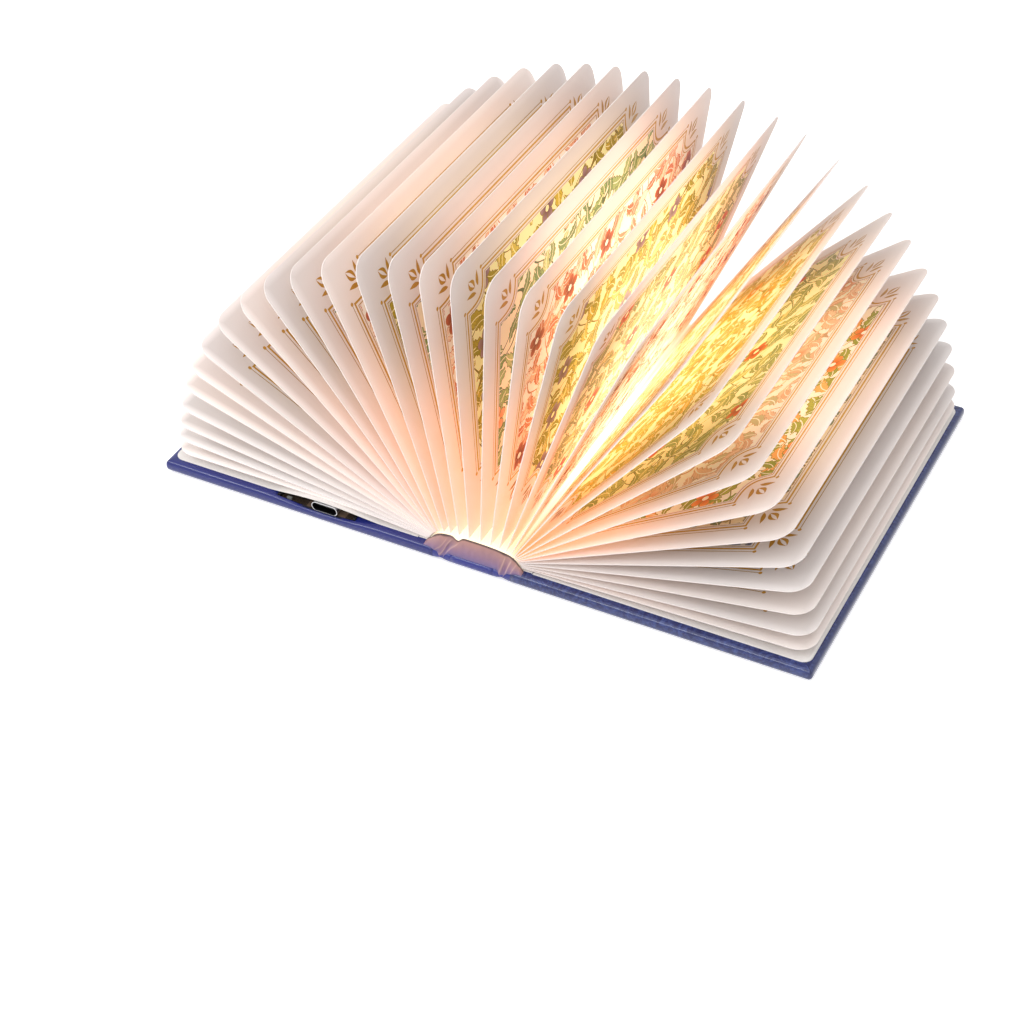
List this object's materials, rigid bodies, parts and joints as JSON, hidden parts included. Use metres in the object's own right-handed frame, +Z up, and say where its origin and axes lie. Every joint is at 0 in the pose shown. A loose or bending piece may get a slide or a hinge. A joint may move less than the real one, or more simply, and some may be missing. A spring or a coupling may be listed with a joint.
{
  "type": "folding book lamp",
  "caption": "Rechargeable lamp in the form of a small hardback book: two hinged covers, a light bar along the spine and a fan of translucent leaves.",
  "frame": {"origin": "on the table, under the middle of the spine, with the lamp lying open flat", "axes": "+X across the covers from the front cover to the back cover, +Y along the spine from tail to head, +Z up"},
  "size_m": [0.2152, 0.14, 0.1004],
  "materials": {
    "greyboard": "uncoated greyboard",
    "front_paper": "printed covering paper, film laminated, satin gloss",
    "spine_paper": "printed covering paper, film laminated, satin gloss",
    "back_paper": "mottled blue covering paper, film laminated, satin gloss",
    "inner_cloth": "covering paper turned in over the joint",
    "endpaper": "smooth heavy endpaper, matt",
    "leaf_paper": "translucent coated synthetic paper, soft sheen",
    "leaf_film": "translucent white film",
    "bar_aluminium": "satin anodised",
    "led_strip": "white solder mask",
    "light_chip": "warm white light chips",
    "diffuser": "opal diffuser, lit",
    "white_cap": "moulded, fine grain",
    "flat_lead": "flat flexible lead",
    "black_plastic": "moulded, fine grain",
    "circuit_board": "dark solder mask",
    "port_shell": "nickel plated",
    "cell_foil": "laminated foil pouch",
    "indicator": "clear lens",
    "magnet": "nickel plated"
  },
  "bodies": {
    "spine": {"spine_board": "greyboard", "spine_wrap": "spine_paper", "spine_lining": "inner_cloth", "led_channel": "bar_aluminium", "led_board": "led_strip", "leds": "light_chip", "led_diffuser": "diffuser", "led_cap_tail": "white_cap", "led_cap_head": "white_cap", "joint_cloth_front": "spine_paper", "joint_cloth_back": "spine_paper", "joint_lining_front": "inner_cloth", "joint_lining_back": "inner_cloth", "block_lining": "leaf_film", "lamp_lead": "flat_lead"},
    "front_cover": {"front_board": "greyboard", "front_wrap": "front_paper", "front_endpaper": "endpaper", "module_tray": "black_plastic", "control_board": "circuit_board", "usb_c_port": "port_shell", "battery": "cell_foil", "charge_light": "indicator", "open_sensor": "black_plastic", "front_magnets": "magnet"},
    "back_cover": {"back_board": "greyboard", "back_wrap": "back_paper", "back_endpaper": "endpaper", "back_magnets": "magnet"},
    "leaf_01_body": {"leaf_01": "leaf_paper"},
    "leaf_02_body": {"leaf_02": "leaf_paper"},
    "leaf_03_body": {"leaf_03": "leaf_paper"},
    "leaf_04_body": {"leaf_04": "leaf_paper"},
    "leaf_05_body": {"leaf_05": "leaf_paper"},
    "leaf_06_body": {"leaf_06": "leaf_paper"},
    "leaf_07_body": {"leaf_07": "leaf_paper"},
    "leaf_08_body": {"leaf_08": "leaf_paper"},
    "leaf_09_body": {"leaf_09": "leaf_paper"},
    "leaf_10_body": {"leaf_10": "leaf_paper"},
    "leaf_11_body": {"leaf_11": "leaf_paper"},
    "leaf_12_body": {"leaf_12": "leaf_paper"},
    "leaf_13_body": {"leaf_13": "leaf_paper"},
    "leaf_14_body": {"leaf_14": "leaf_paper"},
    "leaf_15_body": {"leaf_15": "leaf_paper"},
    "leaf_16_body": {"leaf_16": "leaf_paper"},
    "leaf_17_body": {"leaf_17": "leaf_paper"},
    "leaf_18_body": {"leaf_18": "leaf_paper"},
    "leaf_19_body": {"leaf_19": "leaf_paper"},
    "leaf_20_body": {"leaf_20": "leaf_paper"},
    "leaf_21_body": {"leaf_21": "leaf_paper"},
    "leaf_22_body": {"leaf_22": "leaf_paper"},
    "leaf_23_body": {"leaf_23": "leaf_paper"},
    "leaf_24_body": {"leaf_24": "leaf_paper"},
    "leaf_25_body": {"leaf_25": "leaf_paper"},
    "leaf_26_body": {"leaf_26": "leaf_paper"},
    "leaf_27_body": {"leaf_27": "leaf_paper"},
    "leaf_28_body": {"leaf_28": "leaf_paper"},
    "leaf_29_body": {"leaf_29": "leaf_paper"},
    "leaf_30_body": {"leaf_30": "leaf_paper"},
    "leaf_31_body": {"leaf_31": "leaf_paper"}
  },
  "joints": [
    {"name": "front_cover_hinge", "type": "hinge", "parent": "spine", "child": "front_cover", "pos_m": [-0.0097, 0, 0.0016], "axis": [0, 1, 0], "range_deg": [0, 90], "deforming": ["joint_cloth_front", "joint_lining_front", "lamp_lead", "block_lining"]},
    {"name": "back_cover_hinge", "type": "hinge", "parent": "spine", "child": "back_cover", "pos_m": [0.0097, 0, 0.0016], "axis": [0, -1, 0], "range_deg": [0, 90], "deforming": ["joint_cloth_back", "joint_lining_back", "block_lining"]},
    {"name": "leaf_01_turn", "type": "hinge", "parent": "spine", "child": "leaf_01_body", "pos_m": [-0.00894, 0, 0.00005], "axis": [0, 1, 0], "range_deg": [0, 85.7]},
    {"name": "leaf_02_turn", "type": "hinge", "parent": "spine", "child": "leaf_02_body", "pos_m": [-0.00883, 0, -0.00023], "axis": [0, 1, 0], "range_deg": [0, 82.32]},
    {"name": "leaf_03_turn", "type": "hinge", "parent": "spine", "child": "leaf_03_body", "pos_m": [-0.00874, 0, -0.00065], "axis": [0, 1, 0], "range_deg": [0, 78.11]},
    {"name": "leaf_04_turn", "type": "hinge", "parent": "spine", "child": "leaf_04_body", "pos_m": [-0.00865, 0, -0.00127], "axis": [0, 1, 0], "range_deg": [0, 72.8]},
    {"name": "leaf_05_turn", "type": "hinge", "parent": "spine", "child": "leaf_05_body", "pos_m": [-0.00859, 0, -0.00198], "axis": [0, 1, 0], "range_deg": [0, 67.71]},
    {"name": "leaf_06_turn", "type": "hinge", "parent": "spine", "child": "leaf_06_body", "pos_m": [-0.00859, 0, -0.00296], "axis": [0, 1, 0], "range_deg": [0, 61.83]},
    {"name": "leaf_07_turn", "type": "hinge", "parent": "spine", "child": "leaf_07_body", "pos_m": [-0.00866, 0, -0.00468], "axis": [0, 1, 0], "range_deg": [0, 53.74]},
    {"name": "leaf_08_turn", "type": "hinge", "parent": "spine", "child": "leaf_08_body", "pos_m": [-0.00884, 0, -0.007], "axis": [0, 1, 0], "range_deg": [0, 45.7]},
    {"name": "leaf_09_turn", "type": "hinge", "parent": "spine", "child": "leaf_09_body", "pos_m": [-0.0092, 0, -0.00988], "axis": [0, 1, 0], "range_deg": [0, 38.51]},
    {"name": "leaf_10_turn", "type": "hinge", "parent": "spine", "child": "leaf_10_body", "pos_m": [-0.00982, 0, -0.01395], "axis": [0, 1, 0], "range_deg": [0, 31.5]},
    {"name": "leaf_11_turn", "type": "hinge", "parent": "spine", "child": "leaf_11_body", "pos_m": [-0.01116, 0, -0.01876], "axis": [0, 1, 0], "range_deg": [0, 24.5]},
    {"name": "leaf_12_turn", "type": "hinge", "parent": "spine", "child": "leaf_12_body", "pos_m": [-0.01379, 0, -0.02489], "axis": [0, 1, 0], "range_deg": [0, 17.71]},
    {"name": "leaf_13_turn", "type": "hinge", "parent": "spine", "child": "leaf_13_body", "pos_m": [-0.01798, 0, -0.03088], "axis": [0, 1, 0], "range_deg": [0, 12.23]},
    {"name": "leaf_14_turn", "type": "hinge", "parent": "spine", "child": "leaf_14_body", "pos_m": [-0.02678, 0, -0.03685], "axis": [0, 1, 0], "range_deg": [0, 7.51]},
    {"name": "leaf_15_turn", "type": "hinge", "parent": "spine", "child": "leaf_15_body", "pos_m": [-0.05681, 0, -0.04149], "axis": [0, 1, 0], "range_deg": [0, 3.36]},
    {"name": "leaf_16_turn", "type": "hinge", "parent": "spine", "child": "leaf_16_body", "pos_m": [0.15443, 0, -0.01404], "axis": [0, -1, 0], "range_deg": [0, 1.24]},
    {"name": "leaf_17_turn", "type": "hinge", "parent": "spine", "child": "leaf_17_body", "pos_m": [0.034, 0, -0.02477], "axis": [0, -1, 0], "range_deg": [0, 6.03]},
    {"name": "leaf_18_turn", "type": "hinge", "parent": "spine", "child": "leaf_18_body", "pos_m": [0.01996, 0, -0.02097], "axis": [0, -1, 0], "range_deg": [0, 11.61]},
    {"name": "leaf_19_turn", "type": "hinge", "parent": "spine", "child": "leaf_19_body", "pos_m": [0.01506, 0, -0.01717], "axis": [0, -1, 0], "range_deg": [0, 17.63]},
    {"name": "leaf_20_turn", "type": "hinge", "parent": "spine", "child": "leaf_20_body", "pos_m": [0.01268, 0, -0.01439], "axis": [0, -1, 0], "range_deg": [0, 23.15]},
    {"name": "leaf_21_turn", "type": "hinge", "parent": "spine", "child": "leaf_21_body", "pos_m": [0.01112, 0, -0.01012], "axis": [0, -1, 0], "range_deg": [0, 30.65]},
    {"name": "leaf_22_turn", "type": "hinge", "parent": "spine", "child": "leaf_22_body", "pos_m": [0.01044, 0, -0.00658], "axis": [0, -1, 0], "range_deg": [0, 38.02]},
    {"name": "leaf_23_turn", "type": "hinge", "parent": "spine", "child": "leaf_23_body", "pos_m": [0.01008, 0, -0.00428], "axis": [0, -1, 0], "range_deg": [0, 45.06]},
    {"name": "leaf_24_turn", "type": "hinge", "parent": "spine", "child": "leaf_24_body", "pos_m": [0.00993, 0, -0.00273], "axis": [0, -1, 0], "range_deg": [0, 51.55]},
    {"name": "leaf_25_turn", "type": "hinge", "parent": "spine", "child": "leaf_25_body", "pos_m": [0.00984, 0, -0.00151], "axis": [0, -1, 0], "range_deg": [0, 58.3]},
    {"name": "leaf_26_turn", "type": "hinge", "parent": "spine", "child": "leaf_26_body", "pos_m": [0.00982, 0, -0.00065], "axis": [0, -1, 0], "range_deg": [0, 64.14]},
    {"name": "leaf_27_turn", "type": "hinge", "parent": "spine", "child": "leaf_27_body", "pos_m": [0.00987, 0, 0.00005], "axis": [0, -1, 0], "range_deg": [0, 69.97]},
    {"name": "leaf_28_turn", "type": "hinge", "parent": "spine", "child": "leaf_28_body", "pos_m": [0.00995, 0, 0.00056], "axis": [0, -1, 0], "range_deg": [0, 75.31]},
    {"name": "leaf_29_turn", "type": "hinge", "parent": "spine", "child": "leaf_29_body", "pos_m": [0.01003, 0, 0.00097], "axis": [0, -1, 0], "range_deg": [0, 80.26]},
    {"name": "leaf_30_turn", "type": "hinge", "parent": "spine", "child": "leaf_30_body", "pos_m": [0.01015, 0, 0.00131], "axis": [0, -1, 0], "range_deg": [0, 85]},
    {"name": "leaf_31_turn", "type": "hinge", "parent": "spine", "child": "leaf_31_body", "pos_m": [0.01028, 0, 0.0015], "axis": [0, -1, 0], "range_deg": [0, 88.24]}
  ],
  "couplings": [
    {"joint": "leaf_01_turn", "follows": "front_cover_hinge", "ratio": 0.95222},
    {"joint": "leaf_02_turn", "follows": "front_cover_hinge", "ratio": 0.9147},
    {"joint": "leaf_03_turn", "follows": "front_cover_hinge", "ratio": 0.86793},
    {"joint": "leaf_04_turn", "follows": "front_cover_hinge", "ratio": 0.80889},
    {"joint": "leaf_05_turn", "follows": "front_cover_hinge", "ratio": 0.75238},
    {"joint": "leaf_06_turn", "follows": "front_cover_hinge", "ratio": 0.68694},
    {"joint": "leaf_07_turn", "follows": "front_cover_hinge", "ratio": 0.59713},
    {"joint": "leaf_08_turn", "follows": "front_cover_hinge", "ratio": 0.50775},
    {"joint": "leaf_09_turn", "follows": "front_cover_hinge", "ratio": 0.42784},
    {"joint": "leaf_10_turn", "follows": "front_cover_hinge", "ratio": 0.35006},
    {"joint": "leaf_11_turn", "follows": "front_cover_hinge", "ratio": 0.27224},
    {"joint": "leaf_12_turn", "follows": "front_cover_hinge", "ratio": 0.19681},
    {"joint": "leaf_13_turn", "follows": "front_cover_hinge", "ratio": 0.13591},
    {"joint": "leaf_14_turn", "follows": "front_cover_hinge", "ratio": 0.083433},
    {"joint": "leaf_15_turn", "follows": "front_cover_hinge", "ratio": 0.037344},
    {"joint": "leaf_16_turn", "follows": "back_cover_hinge", "ratio": 0.013788},
    {"joint": "leaf_17_turn", "follows": "back_cover_hinge", "ratio": 0.067044},
    {"joint": "leaf_18_turn", "follows": "back_cover_hinge", "ratio": 0.12903},
    {"joint": "leaf_19_turn", "follows": "back_cover_hinge", "ratio": 0.19588},
    {"joint": "leaf_20_turn", "follows": "back_cover_hinge", "ratio": 0.25723},
    {"joint": "leaf_21_turn", "follows": "back_cover_hinge", "ratio": 0.34058},
    {"joint": "leaf_22_turn", "follows": "back_cover_hinge", "ratio": 0.4224},
    {"joint": "leaf_23_turn", "follows": "back_cover_hinge", "ratio": 0.50062},
    {"joint": "leaf_24_turn", "follows": "back_cover_hinge", "ratio": 0.57283},
    {"joint": "leaf_25_turn", "follows": "back_cover_hinge", "ratio": 0.64781},
    {"joint": "leaf_26_turn", "follows": "back_cover_hinge", "ratio": 0.71262},
    {"joint": "leaf_27_turn", "follows": "back_cover_hinge", "ratio": 0.77743},
    {"joint": "leaf_28_turn", "follows": "back_cover_hinge", "ratio": 0.83679},
    {"joint": "leaf_29_turn", "follows": "back_cover_hinge", "ratio": 0.89181},
    {"joint": "leaf_30_turn", "follows": "back_cover_hinge", "ratio": 0.94444},
    {"joint": "leaf_31_turn", "follows": "back_cover_hinge", "ratio": 0.98041}
  ]
}
